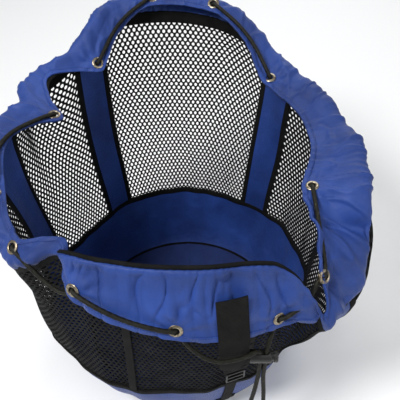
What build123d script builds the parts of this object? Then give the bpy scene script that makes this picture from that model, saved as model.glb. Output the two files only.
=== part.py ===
"""A drawstring mesh ball bag that stands open: a blue skirt on a round base, a wall of black mesh
between blue strips, a bound rim, a blue collar that flops into the mouth and turns outwards at the
front, brass eyelets, a braided drawcord with a sprung cord lock, a webbing tab and a shoulder strap.

Millimetres. +Z is up, the origin is the middle of the base on the floor, and the front faces -Y.
Angles run from +X towards +Y, and places on the wall are (radius, height).
"""

import os
from math import ceil, cos, hypot, pi, radians, sin, sqrt, tan

from build123d import *

# ---- driving dimensions ----
BASE_R = 205.0
RIM_R = 287.0
RIM_H = 440.0
WALL_STEPS = 8
WALL_T = 3.0
SKIRT_TOP = 145.0
BASE_T = 3.0
SEAM_H = 6.0
RIM_TAPE_H = 12.0
RIM_TAPE_HALF = 2.2
RIM_INSET = 2.0
COLLAR_T = 4.0

EYELET_HOLE_R = 6.3
EYELET_WALL = 1.0
EYELET_FLANGE_R = 11.5
EYELET_INSET = 17.0
EYELET_HALF = 3.5

CORD_D = 7.5
CORD_LIFT = 8.0
ARC_SHARE = 0.45

# ---- the rim and the collar: (angle, drop from the ridge to the rim, ridge radius, ridge height,
# hem radius, hem height, has an eyelet). It flops inwards, and across the front it hangs outwards
# from the rim itself, with no ridge above it.
COLLAR_BACK = [
    (-50, 16, 352, 372, 334, 405, False),
    (-46, 18, 350, 388, 300, 462, True),
    (-36, 18, 350, 392, 262, 475, False),
    (-28, 18, 344, 425, 228, 480, False),
    (-22, 18, 332, 462, 212, 480, False),
    (-17, 18, 320, 492, 206, 480, True),
    (10, 20, 312, 497, 226, 488, False),
    (32, 20, 306, 512, 236, 496, False),
    (50, 22, 308, 530, 236, 510, True),
    (65, 34, 325, 572, 276, 556, False),
    (80, 50, 335, 612, 305, 592, True),
    (101, 52, 340, 625, 312, 602, True),
    (115, 40, 340, 615, 290, 572, False),
    (124, 26, 318, 602, 256, 545, False),
    (129, 22, 304, 590, 243, 532, True),
    (137, 26, 300, 570, 268, 536, False),
    (147, 40, 322, 552, 292, 540, False),
    (156, 26, 322, 546, 256, 530, False),
    (163, 22, 304, 538, 217, 520, True),
    (172, 26, 316, 540, 252, 528, False),
    (184, 34, 332, 545, 284, 536, False),
    (202, 34, 332, 528, 292, 514, True),
    (211, 24, 336, 498, 300, 506, False),
    (219, 18, 334, 470, 304, 500, True),
    (225, 16, 318, 478, 284, 505, False),
]
COLLAR_FRONT = [
    (230, 0, 292, 508, 314, 474, False),
    (240, 0, 284, 518, 308, 452, True),
    (254, 0, 274, 522, 306, 425, False),
    (269, 0, 270, 522, 306, 408, True),
    (285, 0, 270, 515, 308, 395, False),
    (299, 0, 280, 500, 310, 388, True),
    (307, 0, 294, 480, 318, 385, False),
]
SECTION_STEP = 8.0
CORD_RISE = 22.0  # how far the drawcord goes straight up out of the lock

# ---- the cord lock, across the front with its button to the right ----
LOCK_X = 129.0
LOCK_Y = -288.0
LOCK_Z = 330.0
LOCK_R = 11.0
LOCK_BORE_R = 8.0
LOCK_LEFT = 22.0
LOCK_RIGHT = 12.0
LOCK_WALL = 2.0
BUTTON_TRAVEL = 4.0
BUTTON_T = 6.0
BUTTON_GAP = 0.5
SPRING_ROOM = 8.5
BUTTON_R = 10.0
PLUNGER_CLEARANCE = 0.1
CORD_SLOT_W = 17.0
CORD_SLOT_T = 9.0
SPRING_R = 5.5
SPRING_WIRE_R = 0.6
SPRING_TURNS = 2
CORD_PITCH = CORD_D + 0.4

# ---- the tab on the front of the collar, and the shoulder strap ----
TAB_ANGLE = 285.0
TAB_W = 48.0
TAB_T = 2.0
TAB_TOP = 470.0
TAB_END = 345.5
FLAP_GAP = 0.5
FLAP_SIDE = 8.0
STRAP_ANGLE = -70.0
STRAP_HALF = 5.2
STRAP_GAP = 2.0
STRAP_T = 6.0
STRAP_TOP = 385.0
STRAP_END = 215.0
WEB_HALF = 2.6
WEB_T = 1.6
BUCKLE_H = 26.0
BUCKLE_W = 36.0
BUCKLE_T = 4.0
BUCKLE_BAR = 3.2
BUCKLE_DROP = 4.0
BUCKLE_STAND = 3.0
WEB_LOW = 20.0
ANCHOR_LOW = 16.0
ANCHOR_HIGH = 52.0
ANCHOR_LIFT = 0.1

# ---- the wall's panels, in degrees, and what is sewn on it ----
PANELS = [
    ("strip_front_right", -48.5, -35.5),
    ("mesh_right", -35.5, 45.5),
    ("strip_back_right", 45.5, 58.5),
    ("mesh_back", 58.5, 121.5),
    ("strip_back_left", 121.5, 134.5),
    ("mesh_left", 134.5, 170.0),
    ("strip_left", 170.0, 187.0),
    ("mesh_front_left", 187.0, 250.6),
    ("mesh_front", 250.6, 311.5),
]
FRONT_TAPE_ANGLE = -109.4
FRONT_TAPE_HALF = 1.3
BADGE_ANGLE = -155.0
BADGE_H = 85.0
BADGE_R = 40.0
BADGE_SPAN = 12.0
TAPE_T = 1.2
TAPE_GAP = 0.1

WALL_LEVELS = [RIM_H * (k / WALL_STEPS) ** 2 for k in range(WALL_STEPS + 1)]
MESH_LOW = SKIRT_TOP + SEAM_H
SEAM_GAP = 1.5

os.makedirs("parts", exist_ok=True)


def wall_radius(height):
    """Outer radius of the wall, which is straight between its levels and upright above the rim."""
    if height >= RIM_H:
        return RIM_R
    k = max(k for k in range(WALL_STEPS) if WALL_LEVELS[k] <= height)
    share = (height - WALL_LEVELS[k]) / (WALL_LEVELS[k + 1] - WALL_LEVELS[k])
    return BASE_R + (RIM_R - BASE_R) * (k + share) / WALL_STEPS


def section_plane(angle):
    """The upright plane through the axis at an angle, with radius across and height up."""
    turn = radians(angle)
    return Plane(origin=(0, 0, 0), x_dir=(cos(turn), sin(turn), 0), z_dir=(sin(turn), -cos(turn), 0))


def outward_plane(angle, radius, height):
    """The plane that faces outwards at a place, with Z up its own Y."""
    turn = radians(angle)
    place = (radius * cos(turn), radius * sin(turn), height)
    return Plane(origin=place, x_dir=(-sin(turn), cos(turn), 0), z_dir=(cos(turn), sin(turn), 0))


def place(angle, radius, height):
    turn = radians(angle)
    return Vector(radius * cos(turn), radius * sin(turn), height)


def band_outline(low, high, inner, outer):
    """The outline of a band that follows the wall, from inner to outer of its outer face."""
    heights = [low] + [h for h in WALL_LEVELS if low < h < high] + [high]
    out_side = [(wall_radius(h) + outer, h) for h in heights]
    in_side = [(wall_radius(h) + inner, h) for h in reversed(heights)]
    return out_side + in_side


def cloth_outline(line, thickness):
    """The outline of cloth of a thickness along a line of (radius, height) points."""
    normals = []
    for (r0, z0), (r1, z1) in zip(line, line[1:]):
        run = hypot(r1 - r0, z1 - z0)
        normals.append(((z1 - z0) / run, -(r1 - r0) / run))
    corners = [normals[0]]
    for a, b in zip(normals, normals[1:]):
        middle = hypot(a[0] + b[0], a[1] + b[1])
        reach = min(2 / middle, 1.6)
        corners.append(((a[0] + b[0]) / middle * reach, (a[1] + b[1]) / middle * reach))
    corners.append(normals[-1])
    half = thickness / 2
    outer = [(r + n[0] * half, z + n[1] * half) for (r, z), n in zip(line, corners)]
    inner = [(r - n[0] * half, z - n[1] * half) for (r, z), n in zip(line, corners)]
    return outer + inner[::-1]


def between(start, end, stations):
    """The stations from one angle to another, SECTION_STEP apart at most, straight between those given."""
    keys = [station for station in stations if start < station[0] < end]
    keys = [at_angle(start, stations), *keys, at_angle(end, stations)]
    made = [keys[0]]
    for a, b in zip(keys, keys[1:]):
        count = ceil((b[0] - a[0]) / SECTION_STEP)
        made += [mixed(a, b, k / count) for k in range(1, count)] + [b]
    return made


def mixed(a, b, share):
    """A station part of the way from one to the next, with no eyelet."""
    return (*(x + (y - x) * share for x, y in zip(a[:6], b[:6])), False)


def at_angle(angle, stations):
    a, b = next((a, b) for a, b in zip(stations, stations[1:]) if a[0] <= angle <= b[0])
    return mixed(a, b, (angle - a[0]) / (b[0] - a[0]))


def rim_point(station):
    """(radius, height) of the top of the rim's binding."""
    _, drop, ridge_r, ridge_z, _, _, _ = station
    return ridge_r - RIM_INSET, ridge_z - max(drop, RIM_INSET)


def panel_outline(station):
    """The outline of a wall panel, from the skirt's binding up to the rim's."""
    rim_r, rim_z = rim_point(station)
    top = rim_z - RIM_TAPE_H - SEAM_GAP
    outer = []
    for plain in [MESH_LOW] + [h for h in WALL_LEVELS if h > MESH_LOW]:
        above = (plain - MESH_LOW) / (RIM_H - MESH_LOW)
        outer.append((wall_radius(plain) + (rim_r - RIM_R) * above**2, MESH_LOW + (top - MESH_LOW) * above))
    return outer + [(r - WALL_T, z) for r, z in reversed(outer)]


def loft_through(stations, outline):
    """A ruled solid through an outline at each station."""
    with BuildPart() as lofted:
        for station in stations:
            with BuildSketch(section_plane(station[0])):
                with BuildLine():
                    Polyline(*outline(station), close=True)
                make_face()
        loft(ruled=True)
    return lofted.part


def save(part, name):
    part.label = name
    export_step(part, f"parts/{name}.step")


# ---- base and skirt ----
with BuildPart() as base_panel:
    Cylinder(BASE_R, BASE_T, align=(Align.CENTER, Align.CENTER, Align.MIN))
save(base_panel.part, "base_panel")

RINGS = [
    ("base_binding", BASE_T, BASE_T + SEAM_H, -2 * WALL_T, 1.0),
    ("skirt", BASE_T + SEAM_H, SKIRT_TOP, -WALL_T, 0.0),
    ("skirt_binding", SKIRT_TOP, MESH_LOW, -WALL_T - 1, 1.5),
]
for name, low, high, inner, outer in RINGS:
    with BuildPart() as ring:
        with BuildSketch(Plane.XZ):
            with BuildLine():
                Polyline(*band_outline(low, high, inner, outer), close=True)
            make_face()
        revolve(axis=Axis.Z)
    save(ring.part, name)

# ---- wall panels up to the rim, the tape over the front seam, and the badge on the skirt ----
BEFORE = [(COLLAR_FRONT[-1][0] - 360, *COLLAR_FRONT[-1][1:])]
AFTER = [(station[0] + 360, *station[1:]) for station in COLLAR_BACK[:2]]
RIM = BEFORE + COLLAR_BACK + COLLAR_FRONT + AFTER
for name, start, end in PANELS:
    save(loft_through(between(start, end, RIM), panel_outline), name)


def tape_outline(station):
    """The outline of the tape that lies on the outer face of the wall."""
    outer = panel_outline(station)[: len(panel_outline(station)) // 2]
    return [(r + TAPE_GAP + TAPE_T, z) for r, z in outer] + [(r + TAPE_GAP, z) for r, z in reversed(outer)]


front_seam = 360 + FRONT_TAPE_ANGLE
tape_span = between(front_seam - FRONT_TAPE_HALF, front_seam + FRONT_TAPE_HALF, RIM)
save(loft_through(tape_span, tape_outline), "front_tape")

with BuildPart() as badge:
    with BuildSketch(section_plane(BADGE_ANGLE - BADGE_SPAN)):
        with BuildLine():
            skirt_face = band_outline(BASE_T + SEAM_H, SKIRT_TOP, 0.0, TAPE_T)
            Polyline(*skirt_face, close=True)
        make_face()
    revolve(axis=Axis.Z, revolution_arc=2 * BADGE_SPAN)
    with Locations(outward_plane(BADGE_ANGLE, wall_radius(BADGE_H), BADGE_H)):
        Cylinder(BADGE_R, 2 * BADGE_R, mode=Mode.INTERSECT)
save(badge.part, "badge")


def rim_outline(station):
    """The outline of the tape that binds the mesh to the collar."""
    rim_r, rim_z = rim_point(station)
    low, inner, outer = rim_z - RIM_TAPE_H, rim_r - RIM_TAPE_HALF, rim_r + RIM_TAPE_HALF
    return [(inner, low), (outer, low), (outer, rim_z), (inner, rim_z)]


rim_span = between(COLLAR_BACK[0][0], COLLAR_FRONT[-1][0], COLLAR_BACK + COLLAR_FRONT)
save(loft_through(rim_span, rim_outline), "rim_binding")


# ---- collar and its eyelets ----
def collar_line(station):
    """The seam, unless the collar hangs from the rim itself, then the ridge and the hem."""
    _, drop, ridge_r, ridge_z, hem_r, hem_z, _ = station
    rim_r, rim_z = rim_point(station)
    seam = [(rim_r, rim_z + SEAM_GAP)] if drop else []
    return seam + [(ridge_r, ridge_z), (hem_r, hem_z)]


def collar_outline(station):
    return cloth_outline(collar_line(station), COLLAR_T)


def eyelet_place(station):
    """(radius, height) of the point EYELET_INSET in from the hem, and the collar's outer normal there."""
    (r0, z0), (r1, z1) = collar_line(station)[-2:]
    run = hypot(r1 - r0, z1 - z0)
    along = ((r1 - r0) / run, (z1 - z0) / run)
    normal = (along[1], -along[0])
    return (r1 - along[0] * EYELET_INSET, z1 - along[1] * EYELET_INSET), normal


def eyelet_plane(station):
    """The plane of an eyelet, with Z along the collar's outer normal."""
    (radius, height), (out, up) = eyelet_place(station)
    turn = radians(station[0])
    normal = (out * cos(turn), out * sin(turn), up)
    return Plane(origin=place(station[0], radius, height), x_dir=(-sin(turn), cos(turn), 0), z_dir=normal)


eyelets = [eyelet_plane(station) for station in COLLAR_BACK + COLLAR_FRONT if station[-1]]

for name, stations in (("collar_back", COLLAR_BACK), ("collar_front", COLLAR_FRONT)):
    with BuildPart() as collar:
        add(loft_through(between(stations[0][0], stations[-1][0], stations), collar_outline))
        with Locations(*[eyelet_plane(station) for station in stations if station[-1]]):
            Cylinder(EYELET_HOLE_R + EYELET_WALL, 4 * COLLAR_T, mode=Mode.SUBTRACT)
    save(collar.part, name)

FACE = COLLAR_T / 2
with BuildPart() as eyelet_flanges:
    for plane in eyelets:
        with BuildSketch(plane.offset(-EYELET_HALF)):
            Circle(EYELET_HOLE_R + EYELET_WALL)
            Circle(EYELET_HOLE_R, mode=Mode.SUBTRACT)
        extrude(amount=2 * EYELET_HALF)
        with BuildSketch(plane.offset(FACE)):
            Circle(EYELET_FLANGE_R)
            Circle(EYELET_HOLE_R, mode=Mode.SUBTRACT)
        extrude(amount=EYELET_HALF - FACE)
save(eyelet_flanges.part, "eyelet_flanges")

with BuildPart() as eyelet_washers:
    for plane in eyelets:
        with BuildSketch(plane.offset(-EYELET_HALF)):
            Circle(EYELET_FLANGE_R)
            Circle(EYELET_HOLE_R + EYELET_WALL, mode=Mode.SUBTRACT)
        extrude(amount=EYELET_HALF - FACE)
save(eyelet_washers.part, "eyelet_washers")


# ---- cords ----
def bend_radii(points):
    """For each corner, ARC_SHARE of its shorter run over the tangent of half its turn."""
    radii = []
    for a, b, c in zip(points, points[1:], points[2:]):
        before, after = Vector(*b) - Vector(*a), Vector(*c) - Vector(*b)
        half_turn = radians(before.get_angle(after)) / 2
        radii.append(ARC_SHARE * min(before.length, after.length) / tan(half_turn))
    return radii


def cord_tube(points, name):
    """A round tube along straight runs with an arc at each corner."""
    points = [Vector(*p) for p in points]
    radii = bend_radii(points)
    with BuildPart() as tube:
        with BuildLine() as route:
            FilletPolyline(*points, radius=radii)
        with BuildSketch(Plane(origin=points[0], z_dir=points[1] - points[0])):
            Circle(CORD_D / 2)
        sweep(path=route.wires()[0])
    length = route.wires()[0].length
    share = tube.part.volume / (pi * CORD_D**2 / 4 * length)
    print(f"{name}: {length:.0f} mm, volume over section x length {share:.3f}")
    print(f"  radii {[round(r) for r in radii]}")
    save(tube.part, name)


def beside(station, side):
    """A point of the drawcord beside the collar: side 1 is its outer face, -1 its inner face."""
    (radius, height), (out, up) = eyelet_place(station)
    return place(station[0], radius + side * out * CORD_LIFT, height + side * up * CORD_LIFT)


left_x, right_x = LOCK_X - CORD_PITCH / 2, LOCK_X + CORD_PITCH / 2
BY_ANGLE = {station[0]: station for station in COLLAR_BACK + COLLAR_FRONT}
CORD_FRONT = (269, 254, 240)
CORD_ROUND = (219, 211, 202, 184, 163, 147, 129, 115, 101, 80, 65, 50, 32, 10, -17, -46)
LAST_EYELET = BY_ANGLE[299]


def weave(angles, side):
    """The drawcord's points past stations, going through each eyelet, and the side that it ends on."""
    points = []
    for angle in angles:
        points.append(beside(BY_ANGLE[angle], side))
        if BY_ANGLE[angle][-1]:
            side = -side
            points.append(beside(BY_ANGLE[angle], side))
    return points, side


front_points, side = weave(CORD_FRONT, 1)
round_points, side = weave(CORD_ROUND, side)
drawcord = [
    (left_x, LOCK_Y, LOCK_Z),
    (left_x, LOCK_Y, LOCK_Z + CORD_RISE),
    place(-73, 322, 357),
    place(-81, 322, 360),
    place(-88, 303, 383),
    *front_points,
    place(235, 308, 438),
    *round_points,
    place(-52, 316, 426),
    beside(LAST_EYELET, side),
    beside(LAST_EYELET, -side),
    place(-62, 303, 378),
    (right_x, LOCK_Y, LOCK_Z + CORD_RISE),
    (right_x, LOCK_Y, LOCK_Z),
]
cord_tube(drawcord, "drawcord")

TAIL_LEFT = [
    (left_x, LOCK_Y, LOCK_Z),
    (left_x, LOCK_Y, LOCK_Z - 62),
    (left_x - 4, LOCK_Y - 3, LOCK_Z - 124),
    (left_x - 10, LOCK_Y - 1, LOCK_Z - 178),
]
TAIL_RIGHT = [
    (right_x, LOCK_Y, LOCK_Z),
    (right_x, LOCK_Y, LOCK_Z - 60),
    (right_x + 5, LOCK_Y - 4, LOCK_Z - 118),
    (right_x + 7, LOCK_Y - 4, LOCK_Z - 160),
]
cord_tube(TAIL_LEFT, "cord_tail_left")
cord_tube(TAIL_RIGHT, "cord_tail_right")

KNOT_R = 7.5
with BuildPart() as tail_knots:
    for tail in (TAIL_LEFT, TAIL_RIGHT):
        end = Vector(*tail[-1])
        along = (end - Vector(*tail[-2])).normalized()
        with Locations(end + along * KNOT_R):
            Sphere(KNOT_R)
        with BuildSketch(Plane(origin=end, z_dir=along)):
            Circle(CORD_D)
        extrude(amount=-KNOT_R, mode=Mode.SUBTRACT)
save(tail_knots.part, "tail_knots")

# ---- cord lock ----
lock_start = LOCK_X - LOCK_LEFT
lock_end = LOCK_X + LOCK_RIGHT


def across(x):
    """The plane across the lock's axis at x, facing its button."""
    return Plane(origin=(x, LOCK_Y, LOCK_Z), x_dir=(0, 1, 0), z_dir=(1, 0, 0))


with BuildPart() as lock_barrel:
    with BuildSketch(across(lock_start)):
        Circle(LOCK_R)
    extrude(amount=lock_end - lock_start)
    fillet(lock_barrel.edges().filter_by(GeomType.CIRCLE), 1.5)
    with BuildSketch(across(lock_start + LOCK_WALL)):
        Circle(LOCK_BORE_R)
    extrude(amount=lock_end - lock_start, mode=Mode.SUBTRACT)
    with BuildSketch(Plane.XY.offset(LOCK_Z - LOCK_R)):
        with Locations((LOCK_X, LOCK_Y)):
            SlotOverall(CORD_SLOT_W, CORD_SLOT_T)
    extrude(amount=2 * LOCK_R, mode=Mode.SUBTRACT)
save(lock_barrel.part, "lock_barrel")

plunger_start = lock_start + LOCK_WALL + SPRING_ROOM
with BuildPart() as lock_plunger:
    with BuildSketch(across(plunger_start)):
        Circle(LOCK_BORE_R - PLUNGER_CLEARANCE)
    extrude(amount=lock_end + BUTTON_TRAVEL + 2 * BUTTON_GAP - plunger_start)
    with BuildSketch(across(lock_end + BUTTON_TRAVEL + BUTTON_GAP)):
        Circle(BUTTON_R)
    extrude(amount=BUTTON_T)
    fillet(lock_plunger.faces().sort_by(Axis.X)[-1].edges(), 2)
    with BuildSketch(Plane.XY.offset(LOCK_Z - LOCK_R)):
        with Locations((LOCK_X + BUTTON_TRAVEL / 2, LOCK_Y)):
            SlotOverall(CORD_SLOT_W + BUTTON_TRAVEL, CORD_SLOT_T)
    extrude(amount=2 * LOCK_R, mode=Mode.SUBTRACT)
save(lock_plunger.part, "lock_plunger")

spring_length = SPRING_ROOM - BUTTON_TRAVEL - BUTTON_GAP
with BuildPart() as lock_spring:
    with BuildLine() as coil:
        Helix(
            pitch=(spring_length - 2 * SPRING_WIRE_R) / SPRING_TURNS,
            height=spring_length - 2 * SPRING_WIRE_R,
            radius=SPRING_R,
            center=(lock_start + LOCK_WALL + SPRING_WIRE_R + BUTTON_GAP / 2, LOCK_Y, LOCK_Z),
            direction=(1, 0, 0),
        )
    with BuildSketch(Plane(origin=coil.line @ 0, z_dir=coil.line % 0)):
        Circle(SPRING_WIRE_R)
    sweep(is_frenet=True)
save(lock_spring.part, "lock_spring")

# ---- tab and flap on the front of the collar ----
tab_station = next(station for station in COLLAR_FRONT if station[0] == TAB_ANGLE)
(ridge_r, ridge_z), (hem_r, hem_z) = collar_line(tab_station)
slope = (hem_r - ridge_r) / (ridge_z - hem_z)
lie = COLLAR_T / 2 + TAB_T / 2 + 0.1
tab_line = [
    (ridge_r + slope * (ridge_z - TAB_TOP) + lie * sqrt(1 + slope**2), TAB_TOP),
    (hem_r + lie * sqrt(1 + slope**2), hem_z),
    (hem_r + lie + 1.5, TAB_END),
]
with BuildPart() as front_tab:
    with BuildSketch(section_plane(TAB_ANGLE)):
        with BuildLine():
            Polyline(*reversed(cloth_outline(tab_line, TAB_T)), close=True)
        make_face()
    extrude(amount=TAB_W / 2, both=True)
save(front_tab.part, "front_tab")

flap_plane = outward_plane(TAB_ANGLE, tab_line[-1][0] - TAB_T / 2, TAB_END - FLAP_GAP)
with BuildPart() as tab_flap:
    with BuildSketch(flap_plane):
        with Locations((0, -FLAP_SIDE)):
            Circle(TAB_W / 2)
            Rectangle(TAB_W, FLAP_SIDE, align=(Align.CENTER, Align.MIN))
        with Locations((0, 0)):
            Rectangle(TAB_W, TAB_W, align=(Align.CENTER, Align.MIN), mode=Mode.SUBTRACT)
    extrude(amount=TAB_T)
save(tab_flap.part, "tab_flap")
flap_hinge = place(TAB_ANGLE, tab_line[-1][0] + TAB_T / 2, TAB_END - FLAP_GAP / 2)
print("flap hinge at", [round(v, 2) for v in flap_hinge])

# ---- shoulder strap, its adjuster and the webbing down to the base ----
with BuildPart() as shoulder_strap:
    with BuildSketch(section_plane(STRAP_ANGLE - STRAP_HALF)):
        with BuildLine():
            Polyline(*band_outline(STRAP_END, STRAP_TOP, STRAP_GAP, STRAP_GAP + STRAP_T), close=True)
        make_face()
    revolve(axis=Axis.Z, revolution_arc=2 * STRAP_HALF)
save(shoulder_strap.part, "shoulder_strap")

buckle_z = STRAP_END - BUCKLE_H / 2 - BUCKLE_DROP
buckle_r = wall_radius(buckle_z) + STRAP_GAP + WEB_T + BUCKLE_STAND
buckle_plane = outward_plane(STRAP_ANGLE, buckle_r, buckle_z)
with BuildPart() as ladder_lock:
    with BuildSketch(buckle_plane):
        RectangleRounded(BUCKLE_W, BUCKLE_H, 3)
        slot_h = (BUCKLE_H - 3 * BUCKLE_BAR) / 2
        with GridLocations(0, slot_h + BUCKLE_BAR, 1, 2):
            Rectangle(BUCKLE_W - 2 * BUCKLE_BAR, slot_h, mode=Mode.SUBTRACT)
    extrude(amount=BUCKLE_T)
    fillet(ladder_lock.faces().sort_by(Axis(buckle_plane.origin, buckle_plane.z_dir))[-1].edges(), 0.8)
save(ladder_lock.part, "ladder_lock")

with BuildPart() as strap_webbing:
    with BuildSketch(section_plane(STRAP_ANGLE - WEB_HALF)):
        with BuildLine():
            Polyline(*band_outline(WEB_LOW, STRAP_END - 1, STRAP_GAP, STRAP_GAP + WEB_T), close=True)
        make_face()
    revolve(axis=Axis.Z, revolution_arc=2 * WEB_HALF)
save(strap_webbing.part, "strap_webbing")

with BuildPart() as strap_anchor:
    with BuildSketch(section_plane(STRAP_ANGLE - STRAP_HALF)):
        with BuildLine():
            Polyline(*band_outline(ANCHOR_LOW, ANCHOR_HIGH, ANCHOR_LIFT, STRAP_GAP - ANCHOR_LIFT), close=True)
        make_face()
    revolve(axis=Axis.Z, revolution_arc=2 * STRAP_HALF)
save(strap_anchor.part, "strap_anchor")
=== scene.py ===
"""The looks of a drawstring mesh ball bag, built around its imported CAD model.

Metres. +Z is up, the origin is the middle of the base on the floor, the front faces -Y, and angles
run from +X towards +Y. Cloth is a grid of points over (around, along), cords follow NURBS splines,
and metal and plastic parts keep their CAD shape where that is right.
"""

from math import cos, exp, hypot, pi, radians, sin, sqrt

import bmesh
import bpy
import numpy as np
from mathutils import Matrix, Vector, noise


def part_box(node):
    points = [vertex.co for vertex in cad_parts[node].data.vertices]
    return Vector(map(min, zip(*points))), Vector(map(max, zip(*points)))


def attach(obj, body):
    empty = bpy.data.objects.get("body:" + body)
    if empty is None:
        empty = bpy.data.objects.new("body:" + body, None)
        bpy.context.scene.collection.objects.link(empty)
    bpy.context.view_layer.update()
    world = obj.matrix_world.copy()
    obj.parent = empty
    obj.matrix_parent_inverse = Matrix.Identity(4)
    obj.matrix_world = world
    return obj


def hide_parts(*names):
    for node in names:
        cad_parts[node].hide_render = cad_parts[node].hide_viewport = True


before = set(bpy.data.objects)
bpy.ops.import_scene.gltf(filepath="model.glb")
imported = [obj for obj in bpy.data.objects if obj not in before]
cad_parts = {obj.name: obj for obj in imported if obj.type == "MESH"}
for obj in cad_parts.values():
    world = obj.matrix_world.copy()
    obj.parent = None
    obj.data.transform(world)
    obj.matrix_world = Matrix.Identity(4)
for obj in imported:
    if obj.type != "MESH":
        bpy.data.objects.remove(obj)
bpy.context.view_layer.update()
scene = bpy.context.scene
MM = 0.001

# ---- dimensions of the bag; CORD_LIFT and EYELET_INSET are in mm, as the sections are ----
BASE_R = 0.205
RIM_R = 0.287
RIM_H = 0.440
SKIRT_TOP = 0.148
CORD_D = 0.0075
CORD_LIFT = 8.0
EYELET_INSET = 17.0
EYELET_CUT_R = 0.0072

# The collar, in mm: angle, drop from its ridge to the rim, ridge (radius, height), hem (radius, height),
# and whether it has an eyelet. It flops inwards but for the front, where it hangs outwards.
COLLAR = [
    (-46, 18, (350, 388), (300, 462), True),
    (-36, 18, (350, 392), (262, 475), False),
    (-28, 18, (344, 425), (228, 480), False),
    (-22, 18, (332, 462), (212, 480), False),
    (-17, 18, (320, 492), (206, 480), True),
    (10, 20, (312, 497), (226, 488), False),
    (32, 20, (306, 512), (236, 496), False),
    (50, 22, (308, 530), (236, 510), True),
    (65, 34, (325, 572), (276, 556), False),
    (80, 50, (335, 612), (305, 592), True),
    (101, 52, (340, 625), (312, 602), True),
    (115, 40, (340, 615), (290, 572), False),
    (124, 26, (318, 602), (256, 545), False),
    (129, 22, (304, 590), (243, 532), True),
    (137, 26, (300, 570), (268, 536), False),
    (147, 40, (322, 552), (292, 540), False),
    (156, 26, (322, 546), (256, 530), False),
    (163, 22, (304, 538), (217, 520), True),
    (172, 26, (316, 540), (252, 528), False),
    (184, 34, (332, 545), (284, 536), False),
    (202, 34, (332, 528), (292, 514), True),
    (211, 24, (336, 498), (300, 506), False),
    (219, 18, (334, 470), (304, 500), True),
    (225, 14, (312, 482), (276, 507), False),
    (230, 8, (288, 500), (258, 503), False),
    (235, 5, (286, 512), (290, 476), False),
    (240, 4, (284, 518), (308, 452), True),
    (254, 4, (275, 522), (306, 425), False),
    (269, 4, (271, 522), (306, 408), True),
    (285, 4, (271, 515), (308, 395), False),
    (299, 4, (281, 500), (310, 388), True),
    (304, 6, (300, 482), (318, 390), False),
    (308, 12, (326, 440), (332, 388), False),
    (311, 16, (352, 376), (336, 402), False),
]
RIM_INSET = 7

# The same sections with the rim's own (radius, height) after the angle.
SECTIONS = [
    (angle, (ridge[0] - RIM_INSET, ridge[1] - drop), ridge, hem, eyelet)
    for angle, drop, ridge, hem, eyelet in COLLAR
]

# Where the wall bulges or is pushed in: angle, height, depth, half-width in degrees, half-height.
BULGES = [
    (-20, 0.36, 0.040, 24, 0.070),
    (-155, 0.12, 0.034, 26, 0.100),
    (-150, 0.25, 0.020, 28, 0.090),
    (-112, 0.12, 0.016, 20, 0.090),
    (-88, 0.40, -0.016, 30, 0.070),
    (35, 0.30, 0.014, 16, 0.080),
    (75, 0.33, 0.020, 20, 0.100),
    (112, 0.28, 0.024, 18, 0.100),
    (160, 0.34, 0.020, 20, 0.090),
]


def link(obj):
    scene.collection.objects.link(obj)
    return obj


def polar(angle, radius, height):
    """A point at an angle in degrees, a radius and a height."""
    turn = radians(angle)
    return Vector((radius * cos(turn), radius * sin(turn), height))


def smooth_step(low, high, value):
    share = np.clip((value - low) / (high - low), 0, 1)
    return share * share * (3 - 2 * share)


# ---- camera ----
camera = link(bpy.data.objects.new("camera", bpy.data.cameras.new("camera")))
camera.location = (0.030, -0.7627, 1.1716)
camera.rotation_euler = (radians(44), 0, 0)
camera.data.sensor_width = 36
camera.data.lens = 54
scene.camera = camera


# ---- materials ----
WORN_METAL = 0.35


def shader(name, roughness, sheen=0.0, metallic=0.0, coat=0.0, specular=0.5):
    """A new material with a Principled shader, and its node tree's helpers."""
    made = bpy.data.materials.new(name)
    made.use_nodes = True
    tree = made.node_tree
    principled = tree.nodes["Principled BSDF"]
    principled.inputs["Roughness"].default_value = roughness
    principled.inputs["Metallic"].default_value = metallic
    principled.inputs["Sheen Weight"].default_value = sheen
    principled.inputs["Sheen Roughness"].default_value = 0.4
    principled.inputs["Coat Weight"].default_value = coat
    principled.inputs["Specular IOR Level"].default_value = specular
    return made, tree, principled


def add_node(tree, kind, **values):
    """A node with its named inputs set, or linked where the value is another node's output."""
    node = tree.nodes.new(kind)
    for key, value in values.items():
        socket = node.inputs[key.replace("_", " ")]
        if isinstance(value, bpy.types.NodeSocket):
            tree.links.new(value, socket)
        else:
            socket.default_value = value
    return node


def colour_ramp(tree, factor, *stops):
    """A colour ramp over a factor: each stop is (position, colour)."""
    ramp = tree.nodes.new("ShaderNodeValToRGB")
    tree.links.new(factor, ramp.inputs["Fac"])
    elements = ramp.color_ramp.elements
    while len(elements) < len(stops):
        elements.new(0.5)
    for element, (position, colour) in zip(elements, stops):
        element.position = position
        element.color = (*colour, 1)
    return ramp.outputs["Color"]


def multiply(tree, a, b):
    node = tree.nodes.new("ShaderNodeMath")
    node.operation = "MULTIPLY"
    for socket, value in zip(node.inputs, (a, b)):
        if isinstance(value, bpy.types.NodeSocket):
            tree.links.new(value, socket)
        else:
            socket.default_value = value
    return node.outputs[0]


def add(tree, a, b):
    node = tree.nodes.new("ShaderNodeMath")
    node.operation = "ADD"
    tree.links.new(a, node.inputs[0])
    tree.links.new(b, node.inputs[1])
    return node.outputs[0]


def bands(tree, place, direction, scale):
    """Parallel bands across a direction of the cloth, scale to the metre."""
    wave = add_node(tree, "ShaderNodeTexWave", Vector=place, Scale=scale)
    wave.bands_direction = direction
    return wave.outputs["Fac"]


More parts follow.
